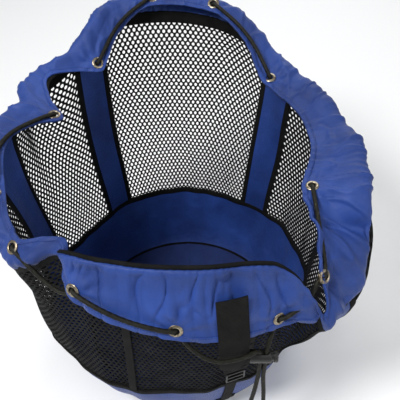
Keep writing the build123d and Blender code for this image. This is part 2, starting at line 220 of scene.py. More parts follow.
def cloth_material(name, dark, light, roughness, sheen, thread, weave_depth, crumple_depth, crumple):
    """Woven cloth: thread is the weave's pitch, and crumple the size of its small creases. Its colour varies
    at random and carries painted shade, darker in the dips of the weave.
    """
    made, tree, principled = shader(name, roughness, sheen=sheen, specular=0.3)
    cloth = add_node(tree, "ShaderNodeUVMap")
    cloth.uv_map = "cloth"
    place = add_node(tree, "ShaderNodeTexCoord").outputs["Object"]
    warp = bands(tree, cloth.outputs["UV"], "X", 0.314 / thread)
    weft = bands(tree, cloth.outputs["UV"], "Y", 0.314 / thread)
    weave = multiply(tree, warp, weft)
    wide = add_node(tree, "ShaderNodeTexNoise", Vector=place, Scale=9.0, Detail=5.0, Roughness=0.6)
    small = add_node(tree, "ShaderNodeTexNoise", Vector=place, Scale=1 / crumple, Detail=6.0, Roughness=0.55)
    # Colour: random tone from the wide noise, plus painted shade from the weave's height, darker in its
    # dips.
    random_tone_and_groove_shade = add(tree, multiply(tree, wide.outputs["Fac"], 0.7), multiply(tree, weave, 0.25))
    tree.links.new(colour_ramp(tree, random_tone_and_groove_shade, (0.25, dark), (0.62, light)), principled.inputs["Base Color"])
    fine = add_node(tree, "ShaderNodeBump", Height=weave, Distance=weave_depth, Strength=0.7)
    creases = add_node(
        tree, "ShaderNodeBump", Height=small.outputs["Fac"], Distance=crumple_depth, Normal=fine.outputs[0]
    )
    tree.links.new(creases.outputs[0], principled.inputs["Normal"])
    return made


def webbing_material(name, dark, light, rib, roughness=0.75):
    """Ribbed webbing or tape: ribs run across its length, with a tooth of fine threads. Its colour has
    random dust and painted shade, darker between the ribs and threads.
    """
    made, tree, principled = shader(name, roughness, specular=0.12)
    cloth = add_node(tree, "ShaderNodeUVMap")
    cloth.uv_map = "cloth"
    ribs = bands(tree, cloth.outputs["UV"], "Y", 0.314 / rib)
    threads = bands(tree, cloth.outputs["UV"], "X", 0.314 / (rib * 0.6))
    height = add(tree, ribs, multiply(tree, threads, 0.4))
    place = add_node(tree, "ShaderNodeTexCoord").outputs["Object"]
    dust = add_node(tree, "ShaderNodeTexNoise", Vector=place, Scale=60.0, Detail=8.0)
    # Colour: random dust, plus painted shade from the rib height, darker in the hollows between ribs.
    random_tone_and_groove_shade = add(tree, multiply(tree, dust.outputs["Fac"], 0.8), multiply(tree, height, 0.2))
    tree.links.new(colour_ramp(tree, random_tone_and_groove_shade, (0.3, dark), (0.85, light)), principled.inputs["Base Color"])
    bump = add_node(tree, "ShaderNodeBump", Height=height, Distance=0.0006, Strength=0.9)
    tree.links.new(bump.outputs[0], principled.inputs["Normal"])
    return made


def knit_material(name, dark, light):
    """The black knit of the mesh: fuzzy looped yarn, a little dusty."""
    made, tree, principled = shader(name, 0.8, specular=0.12)
    place = add_node(tree, "ShaderNodeTexCoord").outputs["Object"]
    loops = add_node(tree, "ShaderNodeTexVoronoi", Vector=place, Scale=900.0)
    dust = add_node(tree, "ShaderNodeTexNoise", Vector=place, Scale=30.0, Detail=7.0)
    tree.links.new(
        colour_ramp(tree, dust.outputs["Fac"], (0.35, dark), (0.75, light)), principled.inputs["Base Color"]
    )
    bump = add_node(tree, "ShaderNodeBump", Height=loops.outputs["Distance"], Distance=0.0005, Strength=0.8)
    tree.links.new(bump.outputs[0], principled.inputs["Normal"])
    return made


def rope_material(name, dark, light, fleck):
    """Braided cord: each strand has its own colour, a few are paler flecks, and painted shade darkens the
    grooves between strands.
    """
    made, tree, principled = shader(name, 0.62, specular=0.2)
    strand_tint_and_groove_shade = add_node(tree, "ShaderNodeAttribute")
    strand_tint_and_groove_shade.attribute_name = "strand_tint_and_groove_shade"
    place = add_node(tree, "ShaderNodeTexCoord").outputs["Object"]
    fibres = add_node(tree, "ShaderNodeTexNoise", Vector=place, Scale=700.0, Detail=5.0)
    # The attribute holds each strand's own colour and the painted shade of the grooves between strands.
    colour = colour_ramp(tree, strand_tint_and_groove_shade.outputs["Fac"], (0.0, dark), (0.78, light), (0.9, fleck))
    tree.links.new(colour, principled.inputs["Base Color"])
    bump = add_node(tree, "ShaderNodeBump", Height=fibres.outputs["Fac"], Distance=0.0004, Strength=0.8)
    tree.links.new(bump.outputs[0], principled.inputs["Normal"])
    return made


def metal_material(name, bright, tarnish, scale):
    """Worn metal: bright where it is rubbed, tarnished in patches, with fine scratches."""
    made, tree, principled = shader(name, WORN_METAL, metallic=1.0)
    place = add_node(tree, "ShaderNodeTexCoord").outputs["Object"]
    patches = add_node(tree, "ShaderNodeTexNoise", Vector=place, Scale=scale, Detail=8.0, Roughness=0.65)
    tree.links.new(
        colour_ramp(tree, patches.outputs["Fac"], (0.38, tarnish), (0.6, bright)),
        principled.inputs["Base Color"],
    )
    rough = add_node(tree, "ShaderNodeMapRange", Value=patches.outputs["Fac"], To_Min=0.5, To_Max=0.25)
    tree.links.new(rough.outputs[0], principled.inputs["Roughness"])
    scratches = add_node(tree, "ShaderNodeTexNoise", Vector=place, Scale=scale * 9, Detail=4.0)
    bump = add_node(tree, "ShaderNodeBump", Height=scratches.outputs["Fac"], Distance=0.0002, Strength=0.4)
    tree.links.new(bump.outputs[0], principled.inputs["Normal"])
    return made


def plastic_material(name, dark, light):
    """Black moulded plastic with a fine spark-eroded grain and pale rub marks."""
    made, tree, principled = shader(name, 0.42, coat=0.1)
    place = add_node(tree, "ShaderNodeTexCoord").outputs["Object"]
    grain = add_node(tree, "ShaderNodeTexNoise", Vector=place, Scale=1400.0, Detail=3.0)
    rubs = add_node(tree, "ShaderNodeTexNoise", Vector=place, Scale=120.0, Detail=8.0, Roughness=0.7)
    tree.links.new(
        colour_ramp(tree, rubs.outputs["Fac"], (0.5, dark), (0.8, light)), principled.inputs["Base Color"]
    )
    bump = add_node(tree, "ShaderNodeBump", Height=grain.outputs["Fac"], Distance=0.0002, Strength=0.5)
    tree.links.new(bump.outputs[0], principled.inputs["Normal"])
    return made


BLUE = cloth_material(
    "blue_nylon", (0.008, 0.024, 0.120), (0.022, 0.066, 0.300), 0.48, 0.04, 0.0011, 0.0003, 0.0034, 0.040
)
# A darker copy of the blue nylon: on the bag's floor it is painted shade, on the badge disc it is the
# badge's own navy print.
SHADED_FLOOR_BLUE_AND_BADGE_NAVY = cloth_material(
    "base_nylon_shaded_and_badge_navy", (0.007, 0.016, 0.075), (0.019, 0.042, 0.170), 0.6, 0.08, 0.0014, 0.0004, 0.0016, 0.030
)
KNIT = knit_material("black_knit", (0.003, 0.003, 0.003), (0.013, 0.013, 0.014))
TAPE = webbing_material("black_tape", (0.002, 0.002, 0.002), (0.010, 0.010, 0.009), 0.0016)
WEBBING = webbing_material("black_webbing", (0.002, 0.002, 0.002), (0.013, 0.012, 0.011), 0.0024)
ROPE = rope_material("black_cord", (0.003, 0.003, 0.002), (0.014, 0.013, 0.008), (0.100, 0.086, 0.040))
BRASS = metal_material("brass", (0.46, 0.40, 0.29), (0.13, 0.105, 0.075), 160.0)
STEEL = metal_material("spring_steel", (0.62, 0.62, 0.60), (0.30, 0.29, 0.27), 300.0)
PLASTIC = plastic_material("black_plastic", (0.005, 0.005, 0.005), (0.020, 0.019, 0.018))
THREAD = rope_material("thread", (0.020, 0.038, 0.160), (0.070, 0.120, 0.380), (0.120, 0.180, 0.460))
BADGE_GOLD = cloth_material(
    "badge_gold", (0.420, 0.260, 0.020), (0.700, 0.470, 0.050), 0.5, 0.2, 0.0009, 0.0003, 0.0006, 0.020
)
BADGE_WHITE = cloth_material(
    "badge_white", (0.520, 0.520, 0.500), (0.780, 0.780, 0.760), 0.55, 0.2, 0.0009, 0.0003, 0.0006, 0.020
)


# ---- meshes ----
def make_mesh(name, points, faces, material, cloth=None):
    """A smooth mesh piece; cloth gives each point's place (across, along) on the flat cloth, in metres."""
    mesh = bpy.data.meshes.new(name)
    mesh.from_pydata([tuple(p) for p in points], [], [tuple(f) for f in faces])
    mesh.materials.append(material)
    mesh.polygons.foreach_set("use_smooth", [True] * len(mesh.polygons))
    if cloth is not None:
        layer = mesh.uv_layers.new(name="cloth")
        corners = np.zeros(len(mesh.loops), int)
        mesh.loops.foreach_get("vertex_index", corners)
        layer.data.foreach_set("uv", np.asarray(cloth, float)[corners].ravel())
    mesh.update()
    return link(bpy.data.objects.new(name, mesh))


def grid_faces(columns, rows, closed=False):
    """The quads of a grid whose points run row by row within each column."""
    faces = []
    for i in range(columns if closed else columns - 1):
        a, b = i * rows, (i + 1) % columns * rows
        faces += [(a + j, b + j, b + j + 1, a + j + 1) for j in range(rows - 1)]
    return faces


def cloth_grid(points):
    """The cloth coordinates of a grid of points, from the distances along its middle row and column."""
    columns, rows = points.shape[:2]
    across = np.linalg.norm(np.diff(points[:, rows // 2], axis=0), axis=1)
    along = np.linalg.norm(np.diff(points, axis=1), axis=2).mean(axis=0)
    u = np.concatenate([[0], np.cumsum(across)])
    v = np.concatenate([[0], np.cumsum(along)])
    return np.stack(np.broadcast_arrays(u[:, None], v[None, :]), axis=-1).reshape(columns * rows, 2)


def flat_of(obj):
    """The width and the length of the cloth that a grid piece is cut from."""
    places = np.zeros(len(obj.data.loops) * 2)
    obj.data.uv_layers["cloth"].data.foreach_get("uv", places)
    return tuple(float(side) for side in np.ptp(places.reshape(-1, 2), axis=0))


def grid_mesh(name, grid, material):
    """An open grid of points as a mesh, with its cloth coordinates."""
    return make_mesh(name, grid.reshape(-1, 3), grid_faces(*grid.shape[:2]), material, cloth_grid(grid))


def thicken(obj, thickness, offset=0.0):
    solid = obj.modifiers.new("thickness", "SOLIDIFY")
    solid.thickness = thickness
    solid.offset = offset
    return obj


def on(obj, slot, *nodes, body="bag"):
    """The piece rides on a body and stands for CAD nodes; slot is not used."""
    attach(obj, body)
    if nodes:
        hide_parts(*nodes)
    return obj


# ---- the wall ----
def track(angles, keys, values):
    """Smooth values round the bag at angles, through the values at the key angles."""
    keys, values = np.asarray(keys, float), np.asarray(values, float)
    keys = np.concatenate([keys[-2:] - 360, keys, keys[:3] + 360])
    values = np.concatenate([values[-2:], values, values[:3]])
    steps = np.diff(keys)
    slopes = np.diff(values) / steps
    tangents = np.zeros(len(keys))
    same = slopes[1:] * slopes[:-1] > 0
    before, after = steps[:-1], steps[1:]
    share = (before + 2 * after) / (3 * (before + after))
    safe = np.where(same, share * slopes[1:] + (1 - share) * slopes[:-1], 1)
    tangents[1:-1] = np.where(same, slopes[1:] * slopes[:-1] / safe, 0)
    turn = (np.asarray(angles, float) - keys[2]) % 360 + keys[2]
    k = np.clip(np.searchsorted(keys, turn, side="right") - 1, 0, len(keys) - 2)
    t = (turn - keys[k]) / steps[k]
    return (
        values[k] * (2 * t**3 - 3 * t**2 + 1)
        + values[k + 1] * (3 * t**2 - 2 * t**3)
        + steps[k] * (tangents[k] * (t**3 - 2 * t**2 + t) + tangents[k + 1] * (t**3 - t**2))
    )


SECTION_ANGLES = [section[0] for section in SECTIONS]


def section_track(angles, part, which):
    """One coordinate, radius 0 or height 1, of the collar's rim 1, ridge 2 or hem 3, in metres."""
    return track(angles, SECTION_ANGLES, [section[part][which] * MM for section in SECTIONS])


def wall_radius(height):
    return BASE_R + (RIM_R - BASE_R) * np.sqrt(np.clip(height / RIM_H, 0, 1))


def slump(angles, heights):
    """How far the wall stands out from its plain shape at rest, none at the floor and the rim."""
    out = np.zeros(np.broadcast(angles, heights).shape)
    for angle, height, depth, half_width, half_height in BULGES:
        apart = (angles - angle + 180) % 360 - 180
        out = out + depth * np.exp(-((apart / half_width) ** 2) - ((heights - height) / half_height) ** 2)
    return out


def wall_points(angles, shares, lift=0.0):
    """Points of the wall's outer face at angles and shares of the way up from the floor to the rim."""
    angles, shares = np.broadcast_arrays(angles, shares)
    rim_r, rim_z = section_track(angles, 1, 0), section_track(angles, 1, 1)
    plain = shares * RIM_H
    above = np.clip((plain - SKIRT_TOP) / (RIM_H - SKIRT_TOP), 0, 1)
    heights = plain + (rim_z - RIM_H) * above
    ease = smooth_step(0.0, 0.10, plain) * smooth_step(RIM_H, RIM_H - 0.045, plain)
    folds = np.array(
        [
            noise.noise(Vector((cos(radians(a)) * 2.6, sin(radians(a)) * 2.6, h * 5)))
            + 0.5 * noise.noise(Vector((cos(radians(a)) * 7, sin(radians(a)) * 7, h * 9 + 4)))
            for a, h in zip(angles.ravel(), plain.ravel())
        ]
    ).reshape(angles.shape)
    radius = wall_radius(plain) + (rim_r - RIM_R) * above**2 + (slump(angles, plain) + 0.010 * folds) * ease
    radius = radius + lift
    turn = np.radians(angles)
    return np.stack([radius * np.cos(turn), radius * np.sin(turn), heights], axis=-1)


def wall_band(name, start, end, low, high, material, lift=0.0, rows=10, step=0.6, wrap=False):
    """A piece of cloth that follows the wall between two angles and two shares of its height."""
    columns = max(4, int((end - start) / step) + 1)
    angles = np.linspace(start, end, columns, endpoint=not wrap)
    grid = wall_points(angles[:, None], np.linspace(low, high, rows)[None, :], lift)
    faces = grid_faces(columns, rows, closed=wrap)
    return make_mesh(name, grid.reshape(-1, 3), faces, material, cloth_grid(grid))


MESH_PITCH, MESH_HOLE = 0.0094, 0.58
HOLE_SHARE = pi / 4 * MESH_HOLE**2 / (sqrt(3) / 2)


def mesh_panel(name, start, end):
    """A knit panel of round holes on a hexagonal pitch, cut from a flat grid and laid on the wall."""
    pitch, hole = MESH_PITCH, MESH_HOLE
    mean_r = 0.280
    width = radians(end - start) * mean_r
    low, high = SKIRT_TOP, RIM_H
    columns = max(2, round(width / pitch))
    tall = float(section_track(np.linspace(start, end, 9), 1, 1).mean()) - low
    rows = round(tall / (pitch * sqrt(3) / 2))
    pitch_u, pitch_v = width / columns, (high - low) / rows
    index, flat, faces = {}, [], []

    def point(u, v):
        key = (round(u * 12), round(v * 12))
        if key not in index:
            index[key] = len(flat)
            flat.append((u, v))
        return index[key]

    side = 2 / 3
    corners = []
    for k in range(6):
        turn = pi / 6 + k * pi / 3
        corners.append((cos(turn) / sqrt(3), sin(turn) * side))
    for row in range(rows + 1):
        for column in range(columns + 1):
            u0, v0 = column + 0.5 * (row % 2), float(row)
            outer, inner = [], []
            for k in range(6):
                (ua, va), (ub, vb) = corners[k], corners[(k + 1) % 6]
                outer.append(point(u0 + ua, v0 + va))
                outer.append(point(u0 + (ua + ub) / 2, v0 + (va + vb) / 2))
            for k in range(12):
                turn = pi / 6 + k * pi / 6
                flat.append((u0 + cos(turn) * hole / 2, v0 + sin(turn) * hole / 2 * pitch_u / pitch_v))
                inner.append(len(flat) - 1)
            for k in range(12):
                faces.append((outer[k], outer[(k + 1) % 12], inner[(k + 1) % 12], inner[k]))
    flat = np.array(flat)
    u = np.clip(flat[:, 0], 0, columns)
    v = np.clip(flat[:, 1], 0, rows)
    angles = start + (end - start) * u / columns
    shares = (low + (high - low) * v / rows) / RIM_H
    points = wall_points(angles, shares, -0.001)
    kept = [face for face in faces if spread(u, v, face)]
    used = sorted({i for face in kept for i in face})
    renumber = {old: new for new, old in enumerate(used)}
    obj = make_mesh(name, points[used], [[renumber[i] for i in face] for face in kept], KNIT)
    weld(obj)
    cut = width * tall * (1 - HOLE_SHARE)
    return thicken(obj, 0.0014), (width, tall), cut


def spread(u, v, face):
    """Whether a face still has three separate corners after the grid is cut to its panel."""
    return len({(round(u[i], 4), round(v[i], 4)) for i in face}) >= 3


def weld(obj, distance=0.00002):
    """Joins points that lie on each other and drops what is left without area."""
    made = bmesh.new()
    made.from_mesh(obj.data)
    bmesh.ops.remove_doubles(made, verts=made.verts, dist=distance)
    bmesh.ops.dissolve_degenerate(made, edges=made.edges, dist=distance)
    made.to_mesh(obj.data)
    made.free()


STRIPS = {
    "strip_front_right": (-48.5, -35.5),
    "strip_back_right": (45.5, 58.5),
    "strip_back_left": (121.5, 134.5),
    "strip_left": (170.0, 187.0),
}
MESHES = {
    "mesh_right": (-35.5, 45.5),
    "mesh_back": (58.5, 121.5),
    "mesh_left": (134.5, 170.0),
    "mesh_front_left": (187.0, 250.6),
    "mesh_front": (250.6, 311.5),
}
SKIRT_SHARE = SKIRT_TOP / RIM_H
STRIP_OVERLAP, SEAM_TAPE_HALF = 0.6, 1.1  # degrees
SKIRT_LOW = 0.0068

for name, (start, end) in MESHES.items():
    panel, flat_size, cut = mesh_panel(name + "_knit", start, end)
    on(panel, "black_mesh", name)

for name, (start, end) in STRIPS.items():
    span = (start - STRIP_OVERLAP, end + STRIP_OVERLAP)
    strip = wall_band(name + "_cloth", *span, SKIRT_SHARE, 1.0, BLUE, lift=-0.0005, rows=60, step=0.5)
    on(thicken(strip, 0.0022), "blue_nylon", name)
    flat_of(strip)

for number, angle in enumerate(sorted({a for pair in STRIPS.values() for a in pair})):
    span = (angle - SEAM_TAPE_HALF, angle + SEAM_TAPE_HALF)
    tape = wall_band(f"seam_tape_{number}", *span, SKIRT_SHARE, 0.995, TAPE, rows=70, step=0.5)
    on(thicken(tape, 0.0034), "black_tape")

skirt = wall_band("skirt_cloth", 0, 360, SKIRT_LOW, SKIRT_SHARE, BLUE, lift=-0.0012, rows=34, wrap=True)
on(thicken(skirt, 0.0026), "blue_nylon", "skirt")
flat_of(skirt)
tape_low, tape_high = SKIRT_SHARE - 0.008, SKIRT_SHARE + 0.012
binding = wall_band("skirt_tape", 0, 360, tape_low, tape_high, TAPE, rows=5, wrap=True)
on(thicken(binding, 0.0052), "black_tape", "skirt_binding")
rim_tape = wall_band("rim_tape", 0, 360, 0.976, 1.014, TAPE, lift=-0.0012, rows=7, step=0.5, wrap=True)
on(thicken(rim_tape, 0.0052), "black_tape", "rim_binding")
FRONT_TAPE = (-110.9, -107.9)
front_tape = wall_band(
    "front_tape_webbing", *FRONT_TAPE, SKIRT_SHARE, 0.985, WEBBING, lift=0.0016, rows=70, step=0.4
)
on(thicken(front_tape, 0.0016), "black_tape", "front_tape")


# ---- base ----
BASE_DISC_R = 0.2115
PIPING_R, PIPING_H, PIPING_TUBE = 0.2125, 0.0055, 0.0036
def base_disc():
    """The round floor of the bag, with a few low folds and a raised middle seam."""
    rings, columns = 60, 240
    points, cloth = [], []
    for i in range(columns):
        turn = 2 * pi * i / columns
        for j in range(rings):
            radius = BASE_DISC_R * (0.02 + 0.98 * j / (rings - 1))
            x, y = radius * cos(turn), radius * sin(turn)
            folds = 0.0016 * max(0.0, noise.noise(Vector((x * 14, y * 14, 2.0))))
            points.append((x, y, 0.0032 + folds + 0.0012 * exp(-((x / 0.0035) ** 2))))
            cloth.append((x, y))
    faces = grid_faces(columns, rings, closed=True)
    faces.append([i * rings for i in range(columns)][::-1])
    # The floor is the same blue nylon, given the darker copy: painted shade.
    return make_mesh("base_cloth", points, faces, SHADED_FLOOR_BLUE_AND_BADGE_NAVY, cloth)


base = base_disc()
thicken(base, 0.0030, offset=-1.0)
on(base, "blue_nylon", "base_panel")


def ring_tube(name, radius, height, tube, material, columns=360, around=10):
    """A piped edge round the bag."""
    points = []
    for i in range(columns):
        angle = 360 * i / columns
        for j in range(around):
            turn = 2 * pi * j / around
            points.append(polar(angle, radius + tube * cos(turn), height + tube * sin(turn)))
    faces = []
    for i in range(columns):
        a, b = i * around, (i + 1) % columns * around
        faces += [(a + j, b + j, b + (j + 1) % around, a + (j + 1) % around) for j in range(around)]
    cloth = [(i * 2 * pi * BASE_R / columns, j * tube) for i in range(columns) for j in range(around)]
    return make_mesh(name, points, faces, material, cloth)


piping = ring_tube("base_piping", PIPING_R, PIPING_H, PIPING_TUBE, TAPE)
on(piping, "black_tape", "base_binding")


# ---- collar ----
def eyelet_at(section):
    """An eyelet's centre and the collar's outer normal there, as (radius, height) pairs in mm."""
    _, _, (ridge_r, ridge_z), (hem_r, hem_z), _ = section
    run = hypot(hem_r - ridge_r, hem_z - ridge_z)
    out, up = (hem_r - ridge_r) / run, (hem_z - ridge_z) / run
    return (hem_r - out * EYELET_INSET, hem_z - up * EYELET_INSET), (up, -out)


def eyelet_frame(section):
    """An eyelet's centre and outer normal as vectors in metres."""
    (radius, height), (out, up) = eyelet_at(section)
    return polar(section[0], radius * MM, height * MM), polar(section[0], out, up)


COLLAR_COLUMNS, COLLAR_ROWS = 1000, 44
CORNER_FROM_RIM, CORNER_TO_HEM = 0.016, 0.030
RIGHT_CREASES = (-0.130, -0.225)
collar_angles = np.linspace(-46, 314, COLLAR_COLUMNS, endpoint=False)


def collar_sections():
    """Points (radius, height) from rim to hem, closer together at the hem, for each collar angle."""
    rim, ridge, hem = (
        np.stack([section_track(collar_angles, part, 0), section_track(collar_angles, part, 1)], -1)
        for part in (1, 2, 3)
    )
    turn = np.linspace(0, 1, 14)[:, None]
    shares = 1 - (1 - np.linspace(0, 1, COLLAR_ROWS)) ** 1.2
    out = np.zeros((COLLAR_COLUMNS, COLLAR_ROWS, 2))
    for i in range(COLLAR_COLUMNS):
        s, p, h = rim[i], ridge[i], hem[i]
        rise, drop = np.linalg.norm(s - p), np.linalg.norm(h - p)
        a = p + (s - p) * min(0.75, CORNER_FROM_RIM / max(rise, 1e-6))
        b = p + (h - p) * min(0.55, CORNER_TO_HEM / max(drop, 1e-6))
        corner = a * (1 - turn) ** 2 + p * 2 * turn * (1 - turn) + b * turn**2
        line = np.concatenate([[s], corner, [h]])
        run = np.concatenate([[0], np.cumsum(np.linalg.norm(np.diff(line, axis=0), axis=1))])
        for axis in (0, 1):
            out[i, :, axis] = np.interp(shares * run[-1], run, line[:, axis])
    return out


def grid_normals(grid):
    """Outer normals of a grid that closes round the bag."""
    around = np.roll(grid, -1, axis=0) - np.roll(grid, 1, axis=0)
    along = np.gradient(grid, axis=1)
    normals = np.cross(around, along)
    return normals / np.maximum(np.linalg.norm(normals, axis=2, keepdims=True), 1e-9)


def collar_grid():
    """The collar's points: its plain shape, then billows, folds and the puckers round each eyelet."""
    flat = collar_sections()
    turn = np.radians(collar_angles)[:, None]
    grid = np.stack([flat[..., 0] * np.cos(turn), flat[..., 0] * np.sin(turn), flat[..., 1]], -1)
    steps = np.linalg.norm(np.diff(grid, axis=1), axis=2)
    from_rim = np.concatenate([np.zeros((COLLAR_COLUMNS, 1)), np.cumsum(steps, axis=1)], axis=1)
    to_hem = from_rim[:, -1:] - from_rim
    normals = grid_normals(grid)
    around = np.concatenate([[0], np.cumsum(np.linalg.norm(np.diff(grid[:, -6], axis=0), axis=1))])
    billow = 0.005 * np.sin(pi * np.clip(from_rim / np.maximum(from_rim[:, -1:] - 0.045, 0.05), 0, 1))
    lift = np.zeros(from_rim.shape)
    for i in range(COLLAR_COLUMNS):
        x, y = cos(turn[i, 0]), sin(turn[i, 0])
        for j in range(COLLAR_ROWS):
            s = from_rim[i, j]
            long_fold = noise.noise(Vector((x * 5.5, y * 5.5, s * 4)))
            fold = noise.noise(Vector((x * 13, y * 13, s * 9 + 7)))
            crease = noise.noise(Vector((x * 30, y * 30, s * 42 + 3)))
            sharp = noise.noise(Vector((x * 9 + 5, y * 9, s * 13)))
            ridged = max(0.0, 1 - 4.5 * abs(sharp)) ** 2
            soft = 0.45 - min(1.0, 1.6 * abs(fold))
            lift[i, j] = 0.009 * long_fold + 0.0042 * soft + 0.0046 * ridged + 0.0005 * crease
    for y in RIGHT_CREASES:
        near = np.exp(-(((grid[..., 1] - y) / 0.011) ** 2))
        lift = lift - 0.011 * near * smooth_step(0.15, 0.19, grid[..., 0])
    gathers = 0.0004 * np.sin(around[:, None] / 0.0021 + 3 * lift / 0.004) * np.exp(-from_rim / 0.022)
    near_hem = 0.45 + 0.55 * smooth_step(0.015, 0.050, to_hem)
    lift = (lift + billow) * smooth_step(0.0, 0.02, from_rim) * near_hem + gathers
    points = grid + normals * lift[..., None]
    for section in SECTIONS:
        if section[4]:
            points = pucker(points, grid, normals, section)
    return points


def pucker(points, grid, normals, section):
    """Draws the cloth flat under an eyelet and raises pleats that fan out from it."""
    centre, normal = eyelet_frame(section)
    centre, normal = np.array(centre), np.array(normal)
    across = np.array(polar(section[0] + 90, 1, 0))
    down = np.cross(normal, across)
    away = grid - centre
    u, v = away @ across, away @ down
    distance = np.linalg.norm(away, axis=2)
    spokes = np.cos(9 * np.arctan2(u, v) + section[0])
    pleats = 0.0032 * spokes * smooth_step(0.012, 0.030, distance) * np.exp(-distance / 0.036)
    flatten = 1 - smooth_step(0.012, 0.030, distance)
    facing = np.abs(normals @ normal) > 0.2
    flatten = np.where(facing, flatten, 0)[..., None]
    return points * (1 - flatten) + grid * flatten + normals * (pleats * facing)[..., None]


collar_shape = collar_grid()
eyelet_centres = np.array([eyelet_frame(section)[0] for section in SECTIONS if section[4]])


def cut_eyelets(faces, points, radius):
    """The faces that stay when a hole is cut at each eyelet."""
    middles = points[np.array(faces)].mean(axis=1)
    gaps = np.linalg.norm(middles[:, None] - eyelet_centres[None], axis=2).min(axis=1)
    return [face for face, gap in zip(faces, gaps) if gap > radius]


collar_points = collar_shape.reshape(-1, 3)
collar_faces = cut_eyelets(grid_faces(COLLAR_COLUMNS, COLLAR_ROWS, closed=True), collar_points, EYELET_CUT_R)
collar = make_mesh("collar_cloth", collar_points, collar_faces, BLUE, cloth_grid(collar_shape))
thicken(collar, 0.0024)
on(collar, "blue_nylon", "collar_back", "collar_front")
flat_of(collar)

HEM_W = 0.0095


def hem_grid(grid, rows=6):
    """The last HEM_W of the collar, as its own grid."""
    out = np.zeros((len(grid), rows, 3))
    for i, column in enumerate(grid):
        run = np.concatenate([[0], np.cumsum(np.linalg.norm(np.diff(column, axis=0), axis=1))])
        places = np.linspace(run[-1] - HEM_W, run[-1] + 0.0006, rows)
        for axis in range(3):
            out[i, :, axis] = np.interp(places, run, column[:, axis])
    return out


hem_shape = hem_grid(collar_shape)
hem_faces = cut_eyelets(
    grid_faces(COLLAR_COLUMNS, hem_shape.shape[1], closed=True), hem_shape.reshape(-1, 3), EYELET_CUT_R
)
hem = make_mesh("collar_hem", hem_shape.reshape(-1, 3), hem_faces, BLUE, cloth_grid(hem_shape))
on(thicken(hem, 0.0046), "blue_nylon")


# ---- stitches ----
def stitches(name, line, normals, gap, length, radius, material, slot):
    """A row of short threads that lie on cloth along a line of points, on one side of it."""
    line, normals = np.asarray(line), np.asarray(normals)
    run = np.concatenate([[0], np.cumsum(np.linalg.norm(np.diff(line, axis=0), axis=1))])
    profile = [(-0.5, 0.0), (-0.36, 0.8), (0.0, 1.0), (0.36, 0.8), (0.5, 0.0)]
    points, faces = [], []
    for start in np.arange(gap / 2, run[-1] - length, gap):
        middle = Vector([np.interp(start + length / 2, run, line[:, a]) for a in range(3)])
        ahead = Vector([np.interp(start + length, run, line[:, a]) for a in range(3)])
        up = Vector([np.interp(start + length / 2, run, normals[:, a]) for a in range(3)]).normalized()
        along = (ahead - middle).normalized()
        side = along.cross(up).normalized()
        first = len(points)
        for share, thick in profile:
            for k in range(6):
                turn = k * pi / 3
                reach = radius * max(thick, 0.05)
                spot = middle + along * share * length + side * cos(turn) * reach + up * sin(turn) * reach
                points.append(spot - up * radius * (1 - thick) * 0.8)
        for ring in range(len(profile) - 1):
            a = first + ring * 6
            faces += [(a + k, a + (k + 1) % 6, a + 6 + (k + 1) % 6, a + 6 + k) for k in range(6)]
    made = make_mesh(name, points, faces, material)
    return on(made, slot)


HEM_STITCH = (0.0048, 0.0034, 0.00055)  # gap, length and radius
hem_normals = grid_normals(hem_shape)
for number, (row, side) in enumerate([(1, 1), (1, -1)]):
    line = hem_shape[:, row] + hem_normals[:, row] * 0.0024 * side
    stitches(f"hem_stitch_{number}", line, hem_normals[:, row] * side, *HEM_STITCH, THREAD, "blue_nylon")


# ---- eyelets ----
FLANGE_PROFILE = [
    (6.2, -2.6), (6.2, 2.0), (6.5, 2.7), (7.4, 3.2), (9.0, 3.1), (10.6, 2.4), (11.5, 1.5), (11.3, 1.3),
    (9.2, 1.7), (7.3, 1.6), (7.2, -2.6),
]
WASHER_PROFILE = [
    (7.3, -1.5), (9.2, -1.6), (11.2, -1.3), (11.5, -1.5), (10.6, -2.3), (9.0, -2.9), (7.4, -3.0),
    (6.5, -2.8), (6.4, -2.5), (7.3, -2.3),
]


def turned(name, profile, material, slot, *nodes):
    """A profile turned round the axis of every eyelet."""
    around = 40
    points, faces = [], []
    for section in SECTIONS:
        if not section[4]:
            continue
        centre, normal = eyelet_frame(section)
        side = Vector(polar(section[0] + 90, 1, 0))
        other = normal.cross(side)
        first = len(points)
        for i in range(around):
            turn = 2 * pi * i / around
            spoke = side * cos(turn) + other * sin(turn)
            points += [centre + spoke * r * MM + normal * h * MM for r, h in profile]
        count = len(profile)
        for i in range(around):
            a, b = first + i * count, first + (i + 1) % around * count
            faces += [(a + j, b + j, b + (j + 1) % count, a + (j + 1) % count) for j in range(count)]
    obj = make_mesh(name, points, faces, material)
    smoother = obj.modifiers.new("round", "SUBSURF")
    smoother.levels = 1
    smoother.render_levels = 1
    return on(obj, slot, *nodes)


turned("eyelet_fronts", FLANGE_PROFILE, BRASS, "brass", "eyelet_flanges")
turned("eyelet_backs", WASHER_PROFILE, BRASS, "brass", "eyelet_washers")


# ---- cords ----
def spline_line(route):
    """The points of the smooth NURBS line along a route."""
    data = bpy.data.curves.new("route", "CURVE")
    data.dimensions = "3D"
    data.resolution_u = 14
    spline = data.splines.new("NURBS")
    spline.points.add(len(route) - 1)
    for point, spot in zip(spline.points, route):
        point.co = (*spot, 1)
    spline.order_u = 3
    spline.use_endpoint_u = True
    obj = bpy.data.objects.new("route", data)
    scene.collection.objects.link(obj)
    mesh = bpy.data.meshes.new_from_object(obj)
    line = np.array([v.co for v in mesh.vertices])
    bpy.data.objects.remove(obj)
    return line


def evenly(line, step):
    run = np.concatenate([[0], np.cumsum(np.linalg.norm(np.diff(line, axis=0), axis=1))])
    places = np.linspace(0, run[-1], max(2, int(run[-1] / step) + 1))
    return np.stack([np.interp(places, run, line[:, axis]) for axis in range(3)], -1)


